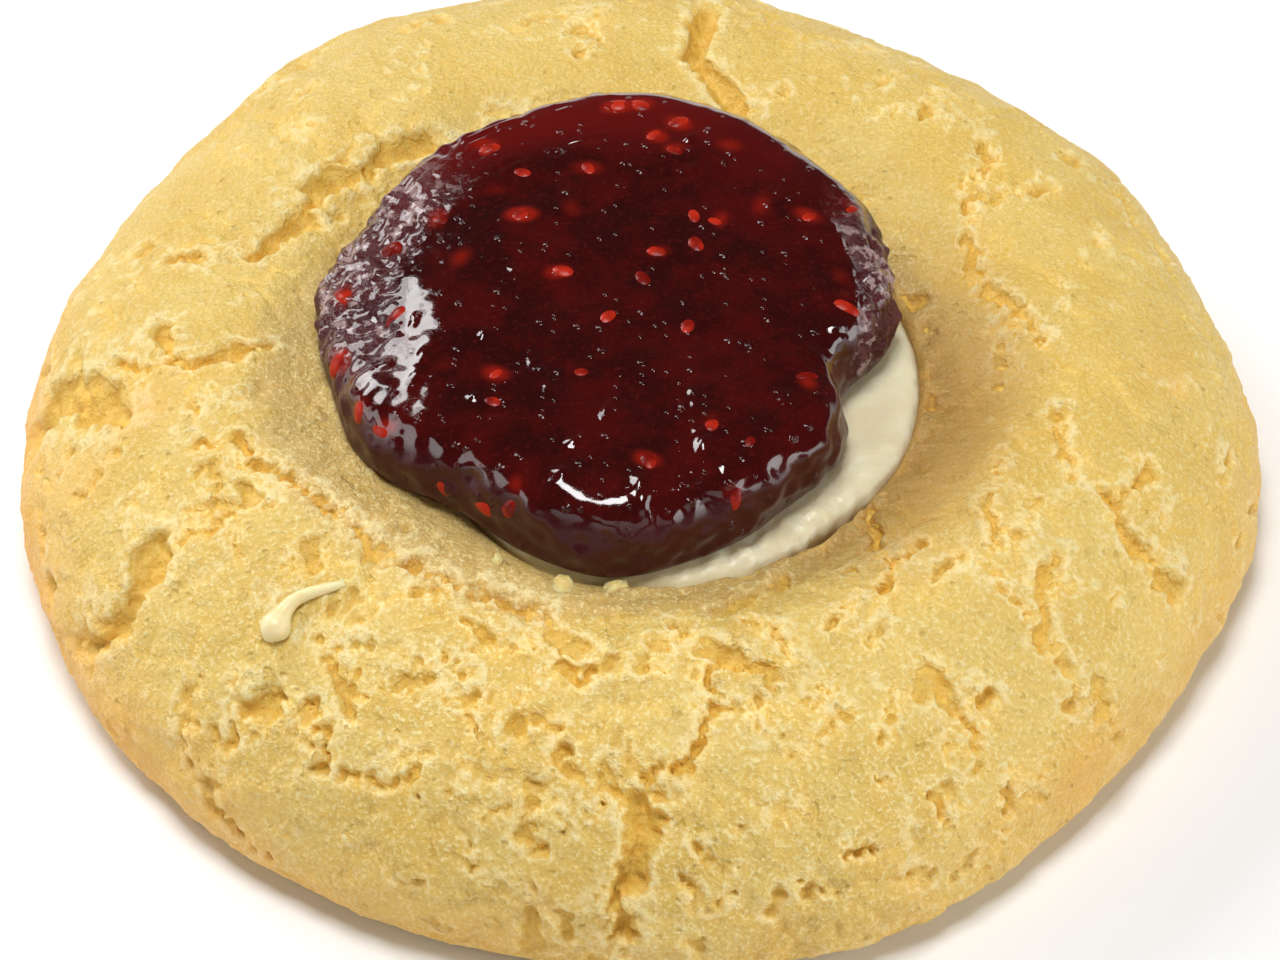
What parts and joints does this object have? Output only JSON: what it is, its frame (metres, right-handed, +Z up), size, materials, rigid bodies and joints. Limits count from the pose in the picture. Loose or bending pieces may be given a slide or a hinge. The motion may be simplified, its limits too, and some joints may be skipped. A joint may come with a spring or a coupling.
{
  "type": "raspberry cream cheese cookie",
  "caption": "Soft round cookie with a cracked golden crown, a disc of cream cheese in its pressed middle and a thick puck of raspberry jam with seeds on top.",
  "frame": {"origin": "on the ground, under the middle of the cookie's bounding box", "axes": "+Z up; -Y towards the front, where the main crack runs down to the rim; +X to the right seen from the front"},
  "size_m": [0.0836, 0.0851, 0.0228],
  "materials": {
    "dough": "soft baked dough, matte and crumbly, pale yellow on the crown and golden brown at the rim",
    "cream_cheese": "smooth off-white cream cheese with a faint moist sheen",
    "raspberry_jam": "wet, glossy dark red raspberry jam with small red seeds"
  },
  "bodies": {
    "root": {"cookie": "dough", "cream_cheese": "cream_cheese", "raspberry_jam": "raspberry_jam"}
  },
  "joints": []
}
